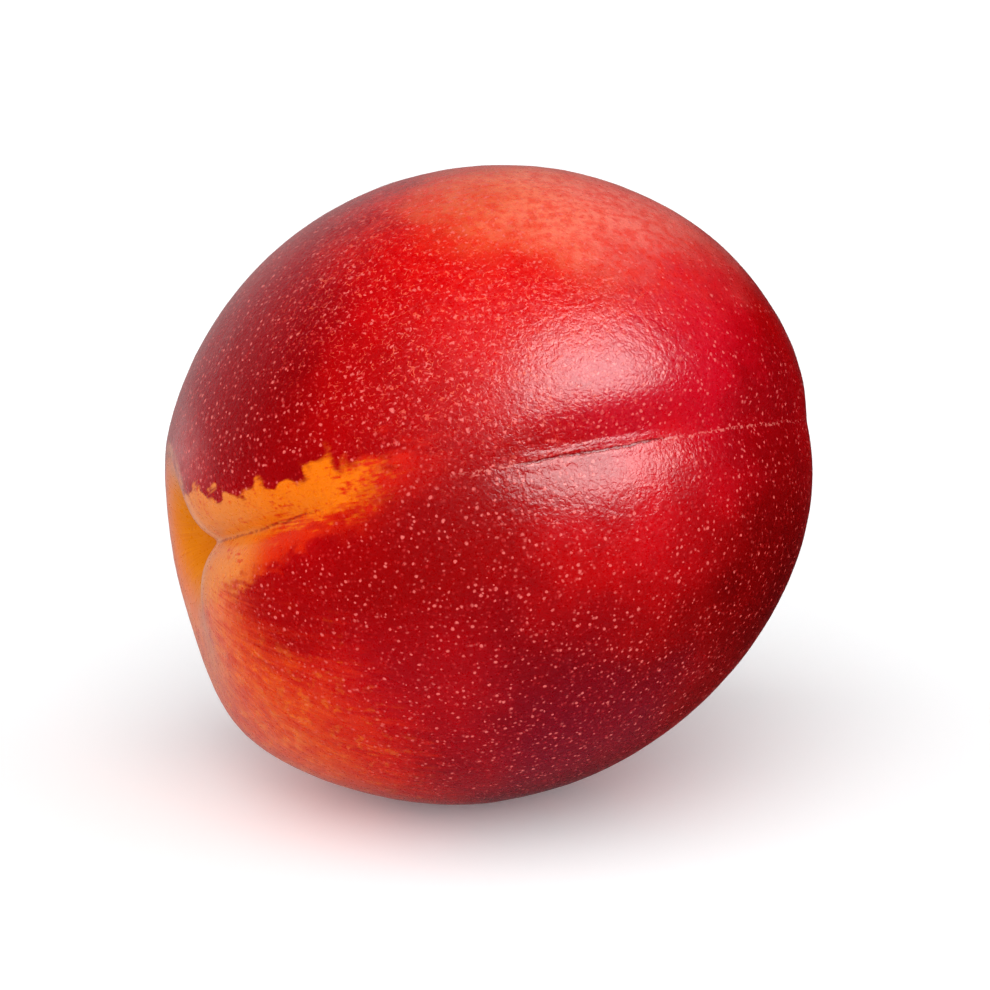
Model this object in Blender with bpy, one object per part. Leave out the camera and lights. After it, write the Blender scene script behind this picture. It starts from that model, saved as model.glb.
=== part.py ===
"""A ripe nectarine, as one solid, lying on its side on the small flat spot where its own weight presses it.

The fruit is shaped upright, with its stem end up and its suture facing +X. Then it is laid down, cut level
where it rests, and put with the middle of its footprint at the origin.
"""

import math

import bmesh
import bpy
from mathutils import Matrix, Vector

MM = 0.001

# The body: a ball a little longer than it is wide, fuller at the stem end, with its two cheeks slipped
# past each other along the stem axis, as they are on most stone fruit.
HALF_LENGTH = 34.8 * MM
BELLY_RADIUS = 33.6 * MM
CHEEK_SHARE = 0.985
FRONT_SHARE = 0.985
STEM_END_FULLNESS = 0.055
STEM_END_LIFT = 0.02
CHEEK_SLIP = 0.065

# The stem cavity: a funnel with a rounded rim, which is lower over the lower cheek.
CAVITY_DEPTH = 8.6 * MM
CAVITY_WIDTH = 4.7 * MM
CAVITY_POWER = 1.8
RIM_DIP_DEPTH = 1.7 * MM
RIM_DIP_WIDTH = 7.5 * MM
RIM_DIP_PLACE = Vector((-1.0, -8.5)) * MM

# The lower shoulder: the cheek is fuller here, under the low side of the rim.
SHOULDER_HEIGHT = 1.3 * MM
SHOULDER_WIDTH = 9.5 * MM
SHOULDER_PLACE = Vector((-5.0, -19.0, 26.5)) * MM

# The tip: a shallow dimple round a small blunt point.
TIP_DIMPLE_DEPTH = 0.9 * MM
TIP_DIMPLE_WIDTH = 6.0 * MM
TIP_POINT_HEIGHT = 0.7 * MM
TIP_POINT_WIDTH = 1.7 * MM

# The suture: a crease from the cavity to the tip, a notch where it leaves the cavity, and a valley beside
# the middle of it. The upper lip is steep and the lower lip is gentle.
CREASE_DEPTH = 0.35 * MM
CREASE_BEND = 1.3 * MM
CREASE_ROUNDING = 0.14
CREASE_FADE = 4.0 * MM
NOTCH_DEPTH = 2.8 * MM
VALLEY_DEPTH = 1.5 * MM
VALLEY_RISE = 1.1 * MM
VALLEY_ROUNDING = 0.45
STEEP_LIP_WIDTH = 2.3 * MM
GENTLE_LIP_WIDTH = 5.0 * MM

# How it lies: the stem end dips, and the suture faces the front and is raised.
STEM_DIP = math.radians(7)
SUTURE_RISE = math.radians(22)
FLAT_SPOT_CUT = 0.85 * MM

# The mesh: rings close up towards both ends, and meridians close up towards the suture.
RINGS = 56
MERIDIANS = 88
RING_CROWDING = 0.5
MERIDIAN_CROWDING = 0.6

SKIN_RED = (0.52, 0.012, 0.018, 1.0)


def clear_scene():
    for obj in list(bpy.data.objects):
        bpy.data.objects.remove(obj, do_unlink=True)


def ramp(start, end, value):
    """0 at start and 1 at end, eased at both."""
    share = min(max((value - start) / (end - start), 0.0), 1.0)
    return share * share * (3 - 2 * share)


def ring_angle(index):
    """The angle of a ring from the stem end, crowded towards both ends."""
    share = index / RINGS
    return math.pi * (share - RING_CROWDING * math.sin(2 * math.pi * share) / (2 * math.pi))


def profile_point(angle):
    """A point on the turned outline, in the XZ plane, at this angle from the stem end."""
    radius = BELLY_RADIUS * (1 + STEM_END_FULLNESS * math.cos(angle)) * math.sin(angle)
    height = HALF_LENGTH * (1 + STEM_END_LIFT * math.cos(angle)) * math.cos(angle)
    if angle < math.pi / 2:
        height -= CAVITY_DEPTH * math.exp(-((radius / CAVITY_WIDTH) ** CAVITY_POWER))
    else:
        height += TIP_DIMPLE_DEPTH * math.exp(-((radius / TIP_DIMPLE_WIDTH) ** 2))
        height -= TIP_POINT_HEIGHT * math.exp(-((radius / TIP_POINT_WIDTH) ** 2))
    return Vector((radius, 0.0, height))


def turned_body():
    """The outline spun round the stem axis, with its ends closed."""
    mesh = bmesh.new()
    points = [mesh.verts.new(profile_point(ring_angle(index))) for index in range(RINGS + 1)]
    points[0].co.x = 0.0
    points[-1].co.x = 0.0
    edges = [mesh.edges.new(pair) for pair in zip(points, points[1:])]
    bmesh.ops.spin(
        mesh,
        geom=points + edges,
        cent=(0, 0, 0),
        axis=(0, 0, 1),
        angle=2 * math.pi,
        steps=MERIDIANS,
        use_merge=True,
    )
    bmesh.ops.remove_doubles(mesh, verts=mesh.verts, dist=0.001 * MM)
    bmesh.ops.recalc_face_normals(mesh, faces=mesh.faces)
    return mesh


def lip(away, rounding, gentle=GENTLE_LIP_WIDTH):
    """The share of a groove's depth that is left this far above its line, or below it if negative."""
    width = gentle if away < 0 else STEEP_LIP_WIDTH
    return math.exp(rounding - math.hypot(away / width, rounding))


def groove_inset(point):
    """How far the skin sinks at a point beside the suture."""
    if point.x <= 0:
        return 0.0
    along = point.z / BELLY_RADIUS
    by_stem = ramp(0.45, 0.9, along)
    crease = CREASE_DEPTH + NOTCH_DEPTH * ramp(0.55, 0.9, along)
    valley = VALLEY_DEPTH * ramp(0.25, -0.15, along) * ramp(-1.05, -0.75, along)
    lower_lip = GENTLE_LIP_WIDTH + (STEEP_LIP_WIDTH - GENTLE_LIP_WIDTH) * by_stem
    sunk = crease * lip(point.y + CREASE_BEND * by_stem, CREASE_ROUNDING, lower_lip)
    sunk += valley * lip(point.y - VALLEY_RISE, VALLEY_ROUNDING)
    return sunk * ramp(0.0, CREASE_FADE, point.x)


def rim_dip(point):
    """How far the rim of the cavity is lowered at a point by the stem end."""
    if point.z <= 0:
        return 0.0
    away = (point.xy - RIM_DIP_PLACE).length
    return RIM_DIP_DEPTH * math.exp(-((away / RIM_DIP_WIDTH) ** 2))


def shoulder_swell(point):
    """How far the skin stands out at a point near the lower shoulder."""
    return SHOULDER_HEIGHT * math.exp(-(((point - SHOULDER_PLACE).length / SHOULDER_WIDTH) ** 2))


def grown(turned):
    """Where a point of the turned body ends up on the fruit."""
    around = math.atan2(turned.y, turned.x)
    around -= MERIDIAN_CROWDING * math.sin(around)
    radius = math.hypot(turned.x, turned.y)
    point = Vector((radius * math.cos(around), radius * math.sin(around), turned.z))
    sunk = point + (shoulder_swell(point) - groove_inset(point)) * point.normalized()
    sunk.z -= rim_dip(point)
    sunk.x *= FRONT_SHARE
    sunk.y *= CHEEK_SHARE
    sunk.z -= CHEEK_SLIP * sunk.y
    return sunk


def laid_down():
    """The turn that takes the upright fruit to the way it lies."""
    stem = Vector((-math.cos(STEM_DIP), 0, -math.sin(STEM_DIP)))
    suture = Vector((0, -math.cos(SUTURE_RISE), math.sin(SUTURE_RISE)))
    suture = (suture - suture.project(stem)).normalized()
    return Matrix((suture, stem.cross(suture), stem)).transposed()


def cut_flat_spot(mesh):
    """A level face where the fruit rests, at height 0."""
    level = min(vert.co.z for vert in mesh.verts) + FLAT_SPOT_CUT
    cut = bmesh.ops.bisect_plane(
        mesh,
        geom=mesh.verts[:] + mesh.edges[:] + mesh.faces[:],
        dist=0.001 * MM,
        plane_co=(0, 0, level),
        plane_no=(0, 0, -1),
        clear_outer=True,
    )
    rim = [item for item in cut["geom_cut"] if isinstance(item, bmesh.types.BMEdge)]
    bmesh.ops.contextual_create(mesh, geom=rim)
    bmesh.ops.translate(mesh, verts=mesh.verts, vec=(0, 0, -level))


def centre_footprint(mesh):
    """Puts the middle of the box that holds the fruit over the origin."""
    for axis in (0, 1):
        places = [vert.co[axis] for vert in mesh.verts]
        shift = Vector()
        shift[axis] = -(min(places) + max(places)) / 2
        bmesh.ops.translate(mesh, verts=mesh.verts, vec=shift)


def skin_material():
    material = bpy.data.materials.new("skin")
    material.use_nodes = True
    shader = material.node_tree.nodes["Principled BSDF"]
    shader.inputs["Base Color"].default_value = SKIN_RED
    shader.inputs["Roughness"].default_value = 0.38
    shader.inputs["Metallic"].default_value = 0.0
    material.diffuse_color = SKIN_RED
    return material


def nectarine():
    shape = turned_body()
    for vert in shape.verts:
        vert.co = grown(vert.co)
    bmesh.ops.transform(shape, matrix=laid_down().to_4x4(), verts=shape.verts)
    cut_flat_spot(shape)
    centre_footprint(shape)
    bmesh.ops.recalc_face_normals(shape, faces=shape.faces)
    mesh = bpy.data.meshes.new("nectarine")
    shape.to_mesh(mesh)
    shape.free()
    mesh.shade_smooth()
    mesh.materials.append(skin_material())
    fruit = bpy.data.objects.new("nectarine", mesh)
    bpy.context.scene.collection.objects.link(fruit)
    return fruit


clear_scene()
nectarine()
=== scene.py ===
"""A ripe nectarine lying on its side, on a pale floor in soft studio light.

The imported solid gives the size, the place and the plain form. The skin is made from it here: it is welded,
smoothed, given its scars and its slight unevenness, and coloured as the fruit colours in the sun.
"""

import math

import bpy
from mathutils import Matrix, Vector


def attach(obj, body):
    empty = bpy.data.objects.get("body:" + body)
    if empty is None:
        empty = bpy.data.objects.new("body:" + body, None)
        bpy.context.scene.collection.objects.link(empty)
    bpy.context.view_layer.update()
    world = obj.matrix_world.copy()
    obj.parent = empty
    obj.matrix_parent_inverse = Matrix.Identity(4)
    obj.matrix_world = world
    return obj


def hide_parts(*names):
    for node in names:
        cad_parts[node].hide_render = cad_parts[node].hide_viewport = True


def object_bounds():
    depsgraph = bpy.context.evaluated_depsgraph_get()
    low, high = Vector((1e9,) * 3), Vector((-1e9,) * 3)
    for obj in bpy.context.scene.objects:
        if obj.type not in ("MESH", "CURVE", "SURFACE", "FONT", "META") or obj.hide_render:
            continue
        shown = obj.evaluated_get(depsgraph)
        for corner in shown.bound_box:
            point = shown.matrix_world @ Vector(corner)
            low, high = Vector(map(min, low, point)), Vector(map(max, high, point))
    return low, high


MM = 0.001

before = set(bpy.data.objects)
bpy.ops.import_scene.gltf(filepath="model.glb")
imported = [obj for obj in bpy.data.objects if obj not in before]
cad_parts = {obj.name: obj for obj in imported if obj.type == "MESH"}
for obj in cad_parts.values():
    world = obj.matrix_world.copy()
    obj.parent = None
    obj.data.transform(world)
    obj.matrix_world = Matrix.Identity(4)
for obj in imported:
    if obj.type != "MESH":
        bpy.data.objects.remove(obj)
CAD_LOW, CAD_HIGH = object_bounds()

# How the fruit lies. Its own axes are X towards the suture, Y towards the upper cheek and Z towards the stem.
STEM_DIP = math.radians(7)
SUTURE_RISE = math.radians(22)
STEM_WAY = Vector((-math.cos(STEM_DIP), 0, -math.sin(STEM_DIP)))
FRONT_WAY = Vector((0, -math.cos(SUTURE_RISE), math.sin(SUTURE_RISE)))
SUTURE_WAY = (FRONT_WAY - FRONT_WAY.project(STEM_WAY)).normalized()
LAY = Matrix((SUTURE_WAY, STEM_WAY.cross(SUTURE_WAY), STEM_WAY)).transposed()

# The crossing of its axes, which is beside the middle of its box, and the belly's radius in millimetres.
MIDDLE = (CAD_LOW + CAD_HIGH) / 2 + Vector((0.27, -0.03, -0.20)) * MM
BELLY = 33.6

# The suture scar: a fine crack between two raised lips, at these heights towards the stem.
SCAR_START = 2.5 * MM
SCAR_END = -13 * MM
LIP_INSIDE = 0.35 * MM
LIP_OUTSIDE = 0.75 * MM
LIP_HEIGHT = 0.06 * MM
CRACK_HALF_WIDTH = 0.1 * MM
CRACK_DEPTH = 0.05 * MM

# The stalk scar: a crater in a corky ring.
CRATER_RADIUS = 1.2 * MM
CRATER_DEPTH = 0.35 * MM
RING_INSIDE = 1.7 * MM
RING_OUTSIDE = 2.3 * MM
RING_HEIGHT = 0.35 * MM

# The studio's walls: the bright one stands behind the fruit, to its left. The table glows softly under it.
# The backdrop is what the eye sees past the floor.
BRIGHT_WAY = (-0.45, 0.89, 0.0)
DIM_WALL = 0.03
BRIGHT_WALL = 0.42
TABLE_GLOW = 0.15
BACKDROP = 1.0

# The floor is so wide that its edge stays out of the picture, and a hair lower than the fruit's flat spot.
FLOOR_WIDTH = 6
FLOOR_HEIGHT = -0.05 * MM

# The camera stands in front, to the left and above, and aims a little under the fruit's middle.
CAMERA_AZIMUTH = -12
CAMERA_ELEVATION = 18
CAMERA_DISTANCE = 0.6
CAMERA_AIM = MIDDLE + Vector((0, 0, -1.5)) * MM
LENS = 208
FILM_WIDTH = 36

# The contrast of the picture: pairs of the light that reaches the lens and the light that is shown.
CONTRAST = ((0.015, 0.002), (0.035, 0.013), (0.1, 0.084), (0.25, 0.25))


def tone(red, green, blue):
    """A colour as the eye names it, 0 to 255, turned to the light values that shaders take."""
    shares = [value / 255 for value in (red, green, blue)]
    light = [s / 12.92 if s <= 0.04045 else ((s + 0.055) / 1.055) ** 2.4 for s in shares]
    return (*light, 1.0)


def on_skin(from_stem, above_suture):
    """A point of the skin in the fruit's axes, in millimetres, from two angles in degrees."""
    down, rise = math.radians(from_stem), math.radians(above_suture)
    return BELLY * Vector((math.sin(down) * math.cos(rise), math.sin(down) * math.sin(rise), math.cos(down)))


def in_fruit(point):
    """A point of the room, in the fruit's own axes."""
    return LAY.transposed() @ (point - MIDDLE)


def deselect_all():
    for obj in bpy.context.selected_objects:
        obj.select_set(False)


def work_on(obj):
    """Makes this the one object that operators act on."""
    deselect_all()
    obj.select_set(True)
    bpy.context.view_layer.objects.active = obj


def select_points(obj, chosen):
    """Selects the points for which chosen(place in the fruit's axes) holds, and goes to edit mode."""
    bpy.ops.object.mode_set(mode="EDIT")
    bpy.ops.mesh.select_mode(type="VERT")
    bpy.ops.mesh.select_all(action="DESELECT")
    bpy.ops.object.mode_set(mode="OBJECT")
    for vert in obj.data.vertices:
        vert.select = chosen(in_fruit(vert.co))
    bpy.ops.object.mode_set(mode="EDIT")


# ---------------------------------------------------------------------------------------------- the mesh


def smooth_copy(name, node):
    """The node's mesh as a new object, welded, back in quads and twice subdivided."""
    piece = bpy.data.objects.new(name, node.data.copy())
    bpy.context.scene.collection.objects.link(piece)
    work_on(piece)
    bpy.ops.mesh.customdata_custom_splitnormals_clear()
    bpy.ops.object.mode_set(mode="EDIT")
    bpy.ops.mesh.select_all(action="SELECT")
    bpy.ops.mesh.remove_doubles(threshold=0.002 * MM)
    bpy.ops.mesh.tris_convert_to_quads(face_threshold=math.radians(60), shape_threshold=math.radians(60))
    bpy.ops.object.mode_set(mode="OBJECT")
    smooth = piece.modifiers.new("smooth", "SUBSURF")
    smooth.levels = 2
    smooth.render_levels = 2
    bpy.ops.object.modifier_apply(modifier=smooth.name)
    bpy.ops.object.shade_smooth()
    return piece


def swell(piece, height, reach, falloff="SMOOTH"):
    """Moves the selected points out along the skin, and what lies within reach of them by less."""
    bpy.ops.transform.shrink_fatten(
        value=height,
        use_proportional_edit=True,
        proportional_edit_falloff=falloff,
        proportional_size=reach,
    )
    bpy.ops.object.mode_set(mode="OBJECT")


def cut_suture_scar(skin):
    """The crack along the suture, with its two raised lips."""

    def beside(low, high):
        def chosen(place):
            in_reach = SCAR_END < place.z < SCAR_START and place.x > 0
            return in_reach and low <= abs(place.y) < high

        return chosen

    select_points(skin, beside(LIP_INSIDE, LIP_OUTSIDE))
    swell(skin, LIP_HEIGHT, reach=0.6 * MM)
    select_points(skin, beside(0, CRACK_HALF_WIDTH))
    swell(skin, -CRACK_DEPTH, reach=0.3 * MM, falloff="SHARP")


def shape_stalk_scar(skin):
    """The crater at the bottom of the cavity where the stalk broke off, with its corky ring."""

    def round_stalk(low, high):
        def chosen(place):
            return place.z > 0 and low <= math.hypot(place.x, place.y) < high

        return chosen

    select_points(skin, round_stalk(RING_INSIDE, RING_OUTSIDE))
    swell(skin, RING_HEIGHT, reach=0.7 * MM)
    select_points(skin, round_stalk(0, CRATER_RADIUS))
    swell(skin, -CRATER_DEPTH, reach=0.6 * MM)


def roughen(skin, name, height, size):
    """A slight unevenness of this height, with swells of this size."""
    pattern = bpy.data.textures.new(name, "CLOUDS")
    pattern.noise_scale = size
    pattern.noise_depth = 1
    pattern.noise_basis = "ORIGINAL_PERLIN"
    bend = skin.modifiers.new(name, "DISPLACE")
    bend.texture = pattern
    bend.texture_coords = "LOCAL"
    bend.strength = height
    bend.mid_level = 0.5
    work_on(skin)
    bpy.ops.object.modifier_apply(modifier=bend.name)


# ----------------------------------------------------------------------------------------- the materials


class Shading:
    """A material, with short ways to add the nodes that its pattern needs."""

    def __init__(self, name):
        self.material = bpy.data.materials.new(name)
        self.material.use_nodes = True
        self.tree = self.material.node_tree
        self.shader = self.tree.nodes["Principled BSDF"]

    def put(self, socket, value):
        """Links value to the socket if it is an output, and writes it there if it isn't."""
        if isinstance(value, bpy.types.NodeSocket):
            self.tree.links.new(value, socket)
        else:
            socket.default_value = value

    def set(self, **values):
        """Sets the shader's sockets: base_color for Base Color, and so on."""
        for name, value in values.items():
            title = " ".join(word.upper() if word == "ior" else word.capitalize() for word in name.split("_"))
            self.put(self.shader.inputs[title], value)

    def math(self, operation, first, second=0.0):
        node = self.tree.nodes.new("ShaderNodeMath")
        node.operation = operation
        self.put(node.inputs[0], first)
        self.put(node.inputs[1], second)
        return node.outputs[0]

    def times(self, first, *others):
        for other in others:
            first = self.math("MULTIPLY", first, other)
        return first

    def plus(self, first, *others):
        for other in others:
            first = self.math("ADD", first, other)
        return first

    def minus(self, first, second):
        return self.math("SUBTRACT", first, second)

    def vector(self, operation, first, second=(0, 0, 0), output=0):
        node = self.tree.nodes.new("ShaderNodeVectorMath")
        node.operation = operation
        self.put(node.inputs[0], first)
        if operation == "SCALE":
            self.put(node.inputs["Scale"], second)
        else:
            self.put(node.inputs[1], second)
        return node.outputs[output]

    def ramp(self, value, low, high, ends=(0.0, 1.0)):
        """Eases from the first end, where value is low, to the second, where it is high."""
        node = self.tree.nodes.new("ShaderNodeMapRange")
        node.interpolation_type = "SMOOTHSTEP"
        falling = not isinstance(low, bpy.types.NodeSocket) and low > high
        start, stop = (high, low) if falling else (low, high)
        first, last = reversed(ends) if falling else ends
        for name, item in zip(("Value", "From Min", "From Max"), (value, start, stop)):
            self.put(node.inputs[name], item)
        node.inputs["To Min"].default_value = first
        node.inputs["To Max"].default_value = last
        return node.outputs["Result"]

    def noise(self, vector, scale, detail=2.0, roughness=0.5, distortion=0.0, output="Fac"):
        node = self.tree.nodes.new("ShaderNodeTexNoise")
        self.put(node.inputs["Vector"], vector)
        node.inputs["Scale"].default_value = scale
        node.inputs["Detail"].default_value = detail
        node.inputs["Roughness"].default_value = roughness
        node.inputs["Distortion"].default_value = distortion
        return node.outputs[output]

    def cells(self, vector, scale):
        """The distance to the nearest cell centre, and that cell's colour."""
        node = self.tree.nodes.new("ShaderNodeTexVoronoi")
        self.put(node.inputs["Vector"], vector)
        node.inputs["Scale"].default_value = scale
        return node.outputs["Distance"], node.outputs["Color"]

    def mix(self, share, first, second):
        """The first colour, covered by this share of the second."""
        node = self.tree.nodes.new("ShaderNodeMix")
        node.data_type = "RGBA"
        sockets = [s for s in node.inputs if s.enabled]
        self.put(sockets[0], share)
        self.put(sockets[1], first)
        self.put(sockets[2], second)
        return next(s for s in node.outputs if s.enabled)

    def split(self, vector):
        node = self.tree.nodes.new("ShaderNodeSeparateXYZ")
        self.put(node.inputs[0], vector)
        return node.outputs

    def join(self, first, second, third):
        node = self.tree.nodes.new("ShaderNodeCombineXYZ")
        for socket, value in zip(node.inputs, (first, second, third)):
            self.put(socket, value)
        return node.outputs[0]

    def bump(self, pattern, height, strength, under=None):
        """The pattern as bumps of this height, over other bumps. A height below 0 makes dents."""
        node = self.tree.nodes.new("ShaderNodeBump")
        node.inputs["Strength"].default_value = strength
        node.inputs["Distance"].default_value = height
        self.put(node.inputs["Height"], pattern)
        if under is not None:
            self.put(node.inputs["Normal"], under)
        return node.outputs["Normal"]

    def fruit_place(self):
        """The place on the fruit in its own axes, in millimetres."""
        place = self.tree.nodes.new("ShaderNodeTexCoord")
        turn = self.tree.nodes.new("ShaderNodeMapping")
        turn.vector_type = "TEXTURE"
        turn.inputs["Location"].default_value = MIDDLE
        turn.inputs["Rotation"].default_value = LAY.to_euler()
        turn.inputs["Scale"].default_value = (MM, MM, MM)
        self.put(turn.inputs["Vector"], place.outputs["Object"])
        return turn.outputs["Vector"]


# Where the red deepens or lightens, a later patch over an earlier one: degrees from the stem end, degrees
# above the suture, how far the patch reaches in millimetres, how strongly it covers, and its colour.
PATCHES = (
    (42, 52, 27, 0.9, tone(142, 9, 24)),
    (45, 24, 17, 0.8, tone(128, 2, 12)),
    (74, 10, 10, 0.7, tone(184, 4, 12)),
    (90, 36, 24, 0.9, tone(214, 10, 16)),
    (64, 16, 13, 0.8, tone(170, 3, 9)),
    # The top of the upper cheek is lighter: an orange blush, lightened further as painted light from above,
    # and at its top right a pale painted reflection.
    (108, 60, 20, 1.0, tone(248, 120, 84)),
    (121, 55, 18, 0.75, tone(249, 120, 112)),
    # Pinker beyond the shine towards the tip: partly the skin's own crimson-pink, partly a painted glow of
    # the shine.
    (127, 26, 16, 0.8, tone(206, 12, 42)),
    (112, 3, 16, 0.8, tone(188, 8, 38)),
    (130, -4, 13, 0.6, tone(208, 8, 40)),
    (150, 0, 15, 0.7, tone(144, 4, 26)),
    (70, -14, 19, 0.8, tone(140, 2, 6)),
    (40, -20, 7, 0.7, tone(150, 4, 12)),
    (106, -24, 15, 0.9, tone(184, 4, 10)),
    (116, -14, 13, 0.85, tone(214, 6, 26)),
    (84, -34, 12, 0.7, tone(132, 4, 18)),
    (92, -48, 17, 0.8, tone(114, 5, 24)),
    # Darker at the lower right, towards the tip: a deep crimson that is partly the skin's own and partly
    # painted shade.
    (132, -44, 26, 0.8, tone(104, 3, 8)),
    (64, -40, 13, 0.6, tone(154, 4, 24)),
    (88, -68, 20, 0.85, tone(116, 15, 38)),
)


class NectarineSkin(Shading):
    """The skin's material. Lengths are in millimetres, and a share is how much a colour or a mark covers."""

    def __init__(self, name):
        super().__init__(name)
        place = self.place = self.fruit_place()
        self.front, self.up, self.stem = self.split(place)
        across = self.join(self.front, self.up, 0.0)
        self.from_axis = self.vector("LENGTH", across, output=1)
        height_share = self.math("DIVIDE", self.stem, self.vector("LENGTH", place, output=1))
        self.from_stem = self.math("DEGREES", self.math("ARCCOSINE", height_share))
        self.by_stem = self.ramp(self.stem, 10.0, 20.0)

        # Streaks run from the stem to the tip, and close up towards both.
        along = self.join(0.0, 0.0, self.times(self.stem, 0.006))
        fibres = self.vector("ADD", self.vector("NORMALIZE", across), along)
        self.streak = self.noise(fibres, 22.0, detail=4.0, roughness=0.6)
        self.fine_streak = self.noise(fibres, 60.0, detail=3.0, roughness=0.65)
        self.mottle = self.noise(place, 0.55, detail=4.0, roughness=0.65, distortion=0.3)
        self.blotch = self.noise(place, 0.28, detail=4.0, roughness=0.6)
        self.grain = self.noise(place, 2.2, detail=2.0, roughness=0.6)
        self.flame = self.noise(self.vector("MULTIPLY", place, (1.0, 1.0, 0.09)), 0.85)

    def swing(self, pattern, reach):
        """The pattern's ups and downs, as so many millimetres either way."""
        return self.times(self.minus(pattern, 0.5), 2 * reach)

    def away_from(self, from_stem, above_suture, place=None):
        """The distance to the point of the skin at these two angles."""
        return self.vector("DISTANCE", place or self.place, on_skin(from_stem, above_suture), output=1)

    # -------------------------------------------------------------------------------- the skin's colours

    def red_of_the_cheeks(self):
        """The red overcolour: crimson by the stem and under the belly, scarlet on the upper cheek."""
        place = self.place
        cloud = self.noise(place, 0.09, detail=3.0, roughness=0.55)
        drift = self.vector("SUBTRACT", self.noise(place, 0.12, detail=3.0, output="Color"), (0.5, 0.5, 0.5))
        roaming = self.vector("ADD", place, self.vector("SCALE", drift, 16.0))
        colour = self.mix(self.ramp(cloud, 0.38, 0.62), tone(152, 3, 13), tone(178, 4, 12))
        for from_stem, above_suture, reach, strength, shade in PATCHES:
            away = self.away_from(from_stem, above_suture, roaming)
            colour = self.mix(self.ramp(away, reach, reach * 0.15, (0.0, strength)), colour, shade)
        sunny_top = self.ramp(self.away_from(102, 54), 26.0, 12.0, (0.0, 0.55))
        freckle = self.noise(place, 0.95, detail=3.0, roughness=0.65)
        freckles = self.times(self.ramp(freckle, 0.38, 0.64), sunny_top)
        colour = self.mix(freckles, colour, tone(228, 40, 32))
        darker = self.times(self.ramp(self.mottle, 0.5, 0.8, (0.0, 0.25)), self.minus(1.0, sunny_top))
        return self.mix(darker, colour, tone(112, 2, 10))

    def bloom_and_sheen(self):
        """The share of the pale sheen painted on the upper cheek, beside the cavity: a painted reflection of
        the bright wall, over a dull bloom.
        """
        near = self.times(self.ramp(self.from_stem, 31.0, 17.0, (0.0, 0.42)), self.ramp(self.up, 3.0, 9.0))
        patchy = self.ramp(self.mottle, 0.35, 0.6, (0.55, 1.0))
        return self.times(near, self.ramp(self.front, -3.0, 7.0), patchy)

    def bare_shoulder(self):
        """The share and the colour of the shoulder, bare where leaves kept the sun off, below and behind."""
        depth = self.minus(self.minus(self.stem, self.times(self.up, 0.53)), 31.5)
        ragged = self.plus(self.swing(self.blotch, 3.5), self.swing(self.streak, 4.0))
        ragged = self.plus(ragged, self.swing(self.mottle, 3.0), self.swing(self.fine_streak, 6.0))
        edge = self.plus(depth, ragged)
        below, behind = self.ramp(self.up, -1.0, -5.0), self.ramp(self.front, -2.0, -12.0)
        share = self.times(self.ramp(edge, -6.0, 6.0), self.math("MAXIMUM", below, behind))
        from_red_patch = self.plus(self.away_from(41, -20), self.swing(self.streak, 5.0))
        share = self.times(share, self.ramp(from_red_patch, 2.0, 11.0, (0.1, 1.0)))

        colour = self.mix(self.ramp(edge, -2.0, 9.0), tone(196, 20, 14), tone(232, 88, 30))
        colour = self.mix(self.ramp(self.from_stem, 33.0, 20.0, (0.0, 0.85)), colour, tone(240, 128, 70))
        colour = self.mix(self.ramp(self.fine_streak, 0.44, 0.6, (0.0, 0.6)), colour, tone(198, 30, 16))
        colour = self.mix(self.ramp(self.mottle, 0.47, 0.62, (0.0, 0.55)), colour, tone(202, 38, 24))
        colour = self.mix(self.ramp(self.mottle, 0.47, 0.34, (0.0, 0.45)), colour, tone(242, 126, 48))
        return share, colour

    def bare_stripe(self):
        """The share of the bare stripe along the suture: torn above, soft below, and drawn to a point."""
        from_stem = self.from_stem
        above_line = self.minus(self.up, self.ramp(from_stem, 28.0, 72.0, (-1.6, 2.4)))
        taper = self.minus(1.0, self.math("DIVIDE", self.minus(from_stem, 26.0), 54.0))
        half = self.times(self.math("POWER", self.math("MAXIMUM", taper, 0.0), 0.75), 5.0)

        tooth = self.swing(self.noise(self.place, 0.42, detail=1.5), 4.4)
        torn = self.times(tooth, self.ramp(from_stem, 50.0, 66.0, (1.0, 0.4)))
        licks = self.times(self.swing(self.flame, 4.4), self.ramp(from_stem, 50.0, 66.0))
        top_edge = self.plus(self.minus(half, above_line), torn, licks, self.swing(self.fine_streak, 0.9))

        low_edge = self.plus(half, above_line, self.swing(self.flame, 2.4), self.swing(self.streak, 1.8))
        bulge = self.times(self.ramp(from_stem, 46.0, 56.0), self.ramp(from_stem, 66.0, 58.0, (0.0, 0.9)))
        low_edge = self.plus(low_edge, bulge)

        blur = self.ramp(from_stem, 44.0, 64.0, (0.75, 2.6))
        above = self.ramp(self.math("DIVIDE", top_edge, blur), -0.5, 0.8)
        below = self.ramp(self.math("DIVIDE", low_edge, blur), -1.6, 2.0)
        return self.times(above, below, self.ramp(self.front, 2.0, 6.0), self.ramp(taper, 0.0, 0.26))

    def stripe_colour(self):
        """Amber by the cavity, orange further on, and licked with red towards the point and below."""
        from_stem = self.from_stem
        colour = self.mix(self.ramp(from_stem, 26.0, 42.0), tone(224, 122, 54), tone(230, 108, 12))
        lick = self.noise(self.vector("MULTIPLY", self.place, (1.0, 1.0, 0.11)), 2.6, roughness=0.55)
        licks = self.plus(self.swing(self.flame, 0.9), self.swing(self.fine_streak, 0.6))
        redder = self.plus(self.ramp(from_stem, 49.0, 71.0), licks, self.swing(lick, 1.1))
        low = self.plus(self.up, self.swing(self.fine_streak, 4.0), self.swing(self.flame, 2.0))
        low = self.times(self.ramp(low, 1.0, -3.0, (0.0, 0.95)), self.ramp(from_stem, 24.0, 42.0))
        redder = self.math("MAXIMUM", redder, low)
        colour = self.mix(self.ramp(redder, 0.1, 0.9), colour, tone(206, 44, 14))
        return self.mix(self.ramp(from_stem, 56.0, 70.0, (0.0, 0.9)), colour, tone(206, 20, 10))

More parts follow.
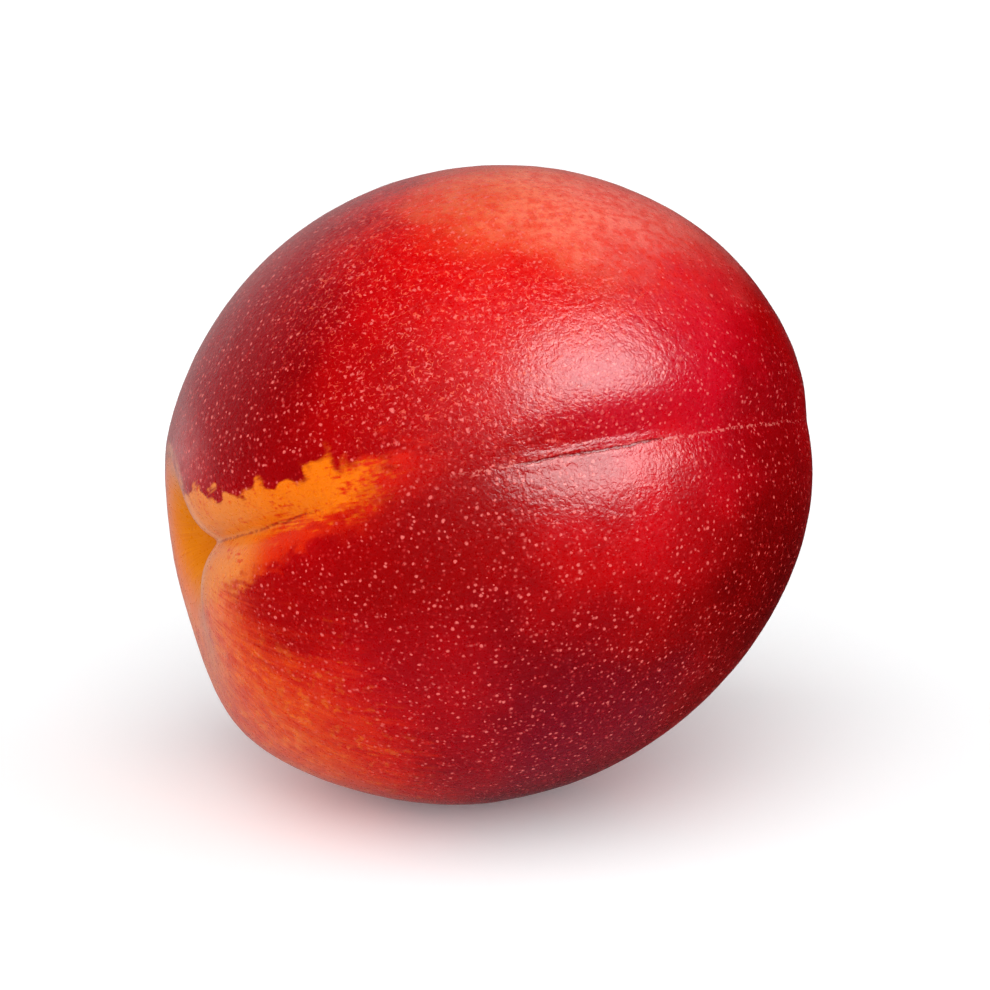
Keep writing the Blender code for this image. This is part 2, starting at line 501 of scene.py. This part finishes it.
    def suture_line(self):
        """The share of the fine dark line of the suture, where it runs through the stripe."""
        off_line = self.plus(self.up, self.ramp(self.stem, 15.0, 30.2, (0.0, 1.3)))
        off_line = self.plus(off_line, self.swing(self.mottle, 0.35))
        line = self.ramp(self.math("ABSOLUTE", off_line), 0.22, 0.05)
        broken = self.times(self.ramp(self.from_stem, 52.0, 44.0), self.ramp(self.grain, 0.3, 0.55))
        return self.times(line, broken, self.ramp(self.front, 6.0, 9.0, (0.0, 0.65)))

    # ------------------------------------------------------------------------------------- the two ends

    def cavity_wall(self):
        """The share and the colour of the cavity, salmon at the top of its wall and amber lower down."""
        reach = self.plus(self.from_axis, self.swing(self.fine_streak, 0.5))
        colour = self.mix(self.ramp(reach, 8.6, 5.0), tone(226, 118, 74), tone(222, 126, 24))
        colour = self.mix(self.ramp(self.fine_streak, 0.35, 0.7, (0.0, 0.4)), colour, tone(196, 78, 20))
        return self.times(self.ramp(reach, 9.4, 8.2), self.by_stem), colour

    def painted_rim_highlight(self):
        """The share of the painted highlight along the cavity's rim: a pale line where the rim's curve
        catches the light.
        """
        edge = self.math("ABSOLUTE", self.minus(self.from_axis, 9.6))
        edge = self.times(self.ramp(edge, 1.1, 0.1, (0.0, 0.36)), self.by_stem)
        return self.times(edge, self.ramp(self.blotch, 0.38, 0.66, (0.15, 1.0)))

    def with_stalk_scar(self, colour):
        """Greenish brown and corky, inside a dark ring."""
        cork = self.mix(self.ramp(self.grain, 0.35, 0.65), tone(112, 92, 44), tone(158, 132, 84))
        cork = self.mix(self.ramp(self.from_axis, 1.5, 2.0), cork, tone(74, 46, 24))
        return self.mix(self.times(self.ramp(self.from_axis, 2.3, 1.9), self.by_stem), colour, cork)

    def with_tip(self, colour):
        """The brown point at the tip, in a small tawny ring."""
        by_tip = self.ramp(self.stem, -10.0, -20.0)
        ring = self.times(self.ramp(self.from_axis, 3.4, 0.6, (0.0, 0.5)), by_tip)
        point = self.times(self.ramp(self.from_axis, 0.8, 0.4, (0.0, 0.85)), by_tip)
        return self.mix(point, self.mix(ring, colour, tone(206, 92, 40)), tone(92, 46, 24))

    # ----------------------------------------------------------------------------------------- the marks

    def dots(self, place, scale, width, share):
        """Spots at so many cells to the millimetre, each of its own size, in this share of the cells."""
        reach, lot = self.cells(place, scale)
        chance, size, strength = self.split(lot)
        size = self.ramp(size, 0.0, 1.0, (width * 0.5, width))
        spot = self.ramp(self.math("DIVIDE", reach, size), 1.0, 0.35)
        spot = self.times(spot, self.ramp(strength, 0.0, 0.7, (0.45, 1.0)))
        return self.times(spot, self.math("LESS_THAN", chance, share))

    def lenticels(self, on_red):
        """The shares of the large dots, of the small dots and of the short crooked marks.

        They are thick on the red and missing from the bare ground, and they crowd on the upper cheek.
        """
        crowd = self.ramp(self.away_from(84, 36), 28.0, 8.0)
        bend = self.noise(self.place, 1.6, detail=1.0, output="Color")
        bend = self.vector("SCALE", bend, self.ramp(crowd, 0.0, 1.0, (0.3, 1.0)))
        shaken = self.vector("ADD", self.place, bend)
        large = self.times(self.dots(shaken, scale=1.5, width=0.4, share=0.9), on_red)
        small = self.times(self.dots(shaken, scale=2.0, width=0.48, share=0.95), on_red)
        small = self.times(small, self.ramp(crowd, 0.0, 1.0, (0.5, 1.0)))
        track = self.minus(self.noise(self.place, 1.35, detail=1.0, distortion=0.6), 0.5)
        track = self.ramp(self.math("ABSOLUTE", track), 0.032, 0.012)
        marks = self.times(track, self.ramp(self.noise(self.place, 1.9), 0.5, 0.56), crowd, on_red)
        return large, small, marks

    def suture_scar(self):
        """The shares of the scar's stretch, of its crack, of its lips and of the dashes beyond it."""
        side = self.plus(self.up, self.swing(self.blotch, 0.5), self.swing(self.grain, 0.12))
        side = self.math("ABSOLUTE", side)
        stretch = self.times(self.ramp(self.stem, 3.4, 1.6), self.ramp(self.stem, -14.5, -11.5))
        stretch = self.times(stretch, self.ramp(self.front, 5.0, 10.0))
        width = self.ramp(self.grain, 0.3, 0.7, (0.08, 0.26))
        crack = self.times(self.ramp(self.math("DIVIDE", side, width), 1.0, 0.5), stretch)
        lips = self.times(self.ramp(side, 0.55, 0.3), self.ramp(self.grain, 0.48, 0.6), stretch)
        dashes = self.times(self.ramp(side, 0.24, 0.08), self.ramp(self.grain, 0.48, 0.58))
        beyond = self.times(self.ramp(self.stem, 10.0, 7.0), self.ramp(self.stem, -33.0, -30.0))
        return stretch, crack, lips, self.times(dashes, beyond, self.ramp(self.front, 3.0, 8.0))

    def unevenness(self, leather, dots, scar, crack):
        """A leathery grain, finer than the dots, over soft wrinkles, with folds along the scar."""
        wrinkle = self.noise(self.place, 0.9, detail=1.0, distortion=0.8)
        above_scar = self.times(self.ramp(self.up, -0.4, 0.3), self.ramp(self.up, 3.0, 2.0), scar)
        fold = self.noise(self.vector("MULTIPLY", self.place, (1.0, 1.0, 0.07)), 1.8)
        fold = self.times(fold, above_scar)
        normal = self.bump(wrinkle, height=0.10 * MM, strength=0.6)
        normal = self.bump(leather, height=0.075 * MM, strength=0.7, under=normal)
        normal = self.bump(fold, height=0.12 * MM, strength=0.7, under=normal)
        normal = self.bump(dots, height=0.012 * MM, strength=0.6, under=normal)
        return self.bump(crack, height=-0.06 * MM, strength=0.7, under=normal)


def skin_material():
    skin = NectarineSkin("nectarine_skin")
    # The upper cheek beside the cavity is paled by a painted reflection of the bright wall, over a dull
    # bloom.
    colour = skin.mix(skin.bloom_and_sheen(), skin.red_of_the_cheeks(), tone(204, 128, 128))
    shoulder, blush = skin.bare_shoulder()
    colour = skin.mix(skin.times(shoulder, 0.95), colour, blush)
    stripe = skin.bare_stripe()
    colour = skin.mix(stripe, colour, skin.stripe_colour())
    colour = skin.mix(skin.suture_line(), colour, tone(150, 40, 12))
    cavity, wall = skin.cavity_wall()
    colour = skin.mix(cavity, colour, wall)
    # A pale line painted along the cavity's rim as its highlight.
    colour = skin.mix(skin.painted_rim_highlight(), colour, tone(250, 178, 130))
    colour = skin.with_tip(skin.with_stalk_scar(colour))

    bare = skin.math("MAXIMUM", skin.math("MAXIMUM", stripe, cavity), skin.times(shoulder, 0.6))
    large, small, marks = skin.lenticels(on_red=skin.minus(1.0, bare))
    colour = skin.mix(skin.times(marks, 0.62), colour, tone(246, 104, 82))
    colour = skin.mix(skin.times(small, 0.58), colour, tone(230, 76, 74))
    colour = skin.mix(skin.times(large, 0.72), colour, tone(238, 112, 106))

    scar, crack, lips, dashes = skin.suture_scar()
    colour = skin.mix(skin.times(lips, 0.35), colour, tone(232, 120, 116))
    colour = skin.mix(skin.times(dashes, 0.5), colour, tone(240, 130, 120))
    colour = skin.mix(skin.times(crack, 0.75), colour, tone(112, 3, 16))

    leather = skin.noise(skin.place, 2.7, detail=1.0, distortion=0.7)
    dots = skin.math("MAXIMUM", skin.math("MAXIMUM", large, small), marks)
    normal = skin.unevenness(leather, dots, scar, crack)
    skin.set(
        base_color=colour,
        roughness=skin.ramp(leather, 0.3, 0.7, (0.27, 0.36)),
        specular_ior_level=0.5,
        coat_weight=0.3,
        coat_roughness=0.2,
        coat_normal=normal,
        subsurface_weight=0.04,
        subsurface_radius=(1.0, 0.35, 0.15),
        subsurface_scale=1.2 * MM,
        normal=normal,
    )
    return skin.material


# --------------------------------------------------------------------------------------------- the stage


def plain_floor():
    bpy.ops.mesh.primitive_plane_add(size=FLOOR_WIDTH, location=(0, 0, FLOOR_HEIGHT))
    floor = bpy.context.object
    floor.name = "floor"
    paper = Shading("pale_floor")
    paper.set(base_color=tone(251, 252, 252), roughness=0.85, specular_ior_level=0.2)
    paper.set(emission_color=tone(240, 248, 255), emission_strength=0.12)
    floor.data.materials.append(paper.material)
    floor.visible_glossy = False
    return floor


def look_along(obj, target):
    obj.rotation_euler = (target - obj.location).to_track_quat("-Z", "Y").to_euler()


def way_from(azimuth, elevation):
    """The way from the fruit to something seen at this azimuth and elevation, in degrees."""
    turn, rise = math.radians(azimuth), math.radians(elevation)
    return Vector((math.sin(turn) * math.cos(rise), -math.cos(turn) * math.cos(rise), math.sin(rise)))


def soft_light(name, azimuth, elevation, strength, spread):
    """A round softbox so far away that it lights fruit and floor evenly. Spread is its width in degrees."""
    light = bpy.data.lights.new(name, "SUN")
    light.energy = strength
    light.angle = math.radians(spread)
    lamp = bpy.data.objects.new(name, light)
    bpy.context.scene.collection.objects.link(lamp)
    lamp.location = MIDDLE + way_from(azimuth, elevation)
    look_along(lamp, MIDDLE)
    return lamp


class Room:
    """The world's nodes, which say how bright the studio looks in every direction."""

    def __init__(self, name):
        self.world = bpy.data.worlds.new(name)
        self.world.use_nodes = True
        self.tree = self.world.node_tree
        self.sky = self.tree.nodes["Background"]
        self.way = self.tree.nodes.new("ShaderNodeTexCoord").outputs["Generated"]

    def glow(self, towards, start, full, low, high):
        """Eases from low to high as the direction turns towards this one."""
        facing = self.tree.nodes.new("ShaderNodeVectorMath")
        facing.operation = "DOT_PRODUCT"
        facing.inputs[1].default_value = towards
        self.tree.links.new(self.way, facing.inputs[0])
        wall = self.tree.nodes.new("ShaderNodeMapRange")
        wall.interpolation_type = "SMOOTHSTEP"
        for title, value in zip(("From Min", "From Max", "To Min", "To Max"), (start, full, low, high)):
            wall.inputs[title].default_value = value
        self.tree.links.new(facing.outputs["Value"], wall.inputs["Value"])
        return wall.outputs["Result"]

    def sum(self, first, second):
        total = self.tree.nodes.new("ShaderNodeMath")
        self.tree.links.new(first, total.inputs[0])
        self.tree.links.new(second, total.inputs[1])
        return total.outputs[0]

    def backdrop(self, lit, brightness):
        """The room as it lights the fruit, with an even backdrop of this brightness for the eye."""
        seen = self.tree.nodes.new("ShaderNodeLightPath").outputs["Is Camera Ray"]
        choice = self.tree.nodes.new("ShaderNodeMix")
        self.tree.links.new(seen, choice.inputs["Factor"])
        self.tree.links.new(lit, choice.inputs["A"])
        choice.inputs["B"].default_value = brightness
        return choice.outputs["Result"]


def studio():
    """A bright wall behind the fruit, dim ones in front and at the right, and the lights.

    Two broad lights give the soft shade, and a smaller one is only there for the shine.
    """
    room = Room("studio")
    walls = room.glow(BRIGHT_WAY, start=0.45, full=0.95, low=DIM_WALL, high=BRIGHT_WALL)
    table = room.glow((0, 0, -1), start=0.5, full=0.9, low=0.0, high=TABLE_GLOW)
    room.tree.links.new(room.backdrop(room.sum(walls, table), BACKDROP), room.sky.inputs["Strength"])
    room.sky.inputs["Color"].default_value = (1.0, 1.0, 1.0, 1.0)
    bpy.context.scene.world = room.world
    shine = soft_light("shine_light", azimuth=43, elevation=42, strength=2.7, spread=42)
    shine.visible_diffuse = False
    right = soft_light("right_light", azimuth=40, elevation=46, strength=2.35, spread=110)
    right.visible_glossy = False
    left = soft_light("left_light", azimuth=-50, elevation=38, strength=2.4, spread=100)
    left.visible_glossy = False


def picture():
    """Plain colours, with the contrast of a print."""
    view = bpy.context.scene.view_settings
    view.view_transform = "Standard"
    view.use_curve_mapping = True
    for reached, shown in CONTRAST:
        view.curve_mapping.curves[3].points.new(reached, shown)
    view.curve_mapping.update()


def camera():
    lens = bpy.data.cameras.new("camera")
    lens.lens = LENS
    lens.sensor_width = FILM_WIDTH
    view = bpy.data.objects.new("camera", lens)
    bpy.context.scene.collection.objects.link(view)
    view.location = MIDDLE + way_from(CAMERA_AZIMUTH, CAMERA_ELEVATION) * CAMERA_DISTANCE
    look_along(view, CAMERA_AIM)
    lens.clip_start = 0.05
    bpy.context.scene.camera = view


skin = smooth_copy("nectarine_skin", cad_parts["nectarine"])
cut_suture_scar(skin)
shape_stalk_scar(skin)
roughen(skin, "swells", height=0.3 * MM, size=14 * MM)
roughen(skin, "dimples", height=0.08 * MM, size=2.5 * MM)
skin.data.materials.clear()
skin.data.materials.append(skin_material())
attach(skin, "root")
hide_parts("nectarine")

plain_floor()
studio()
camera()
picture()
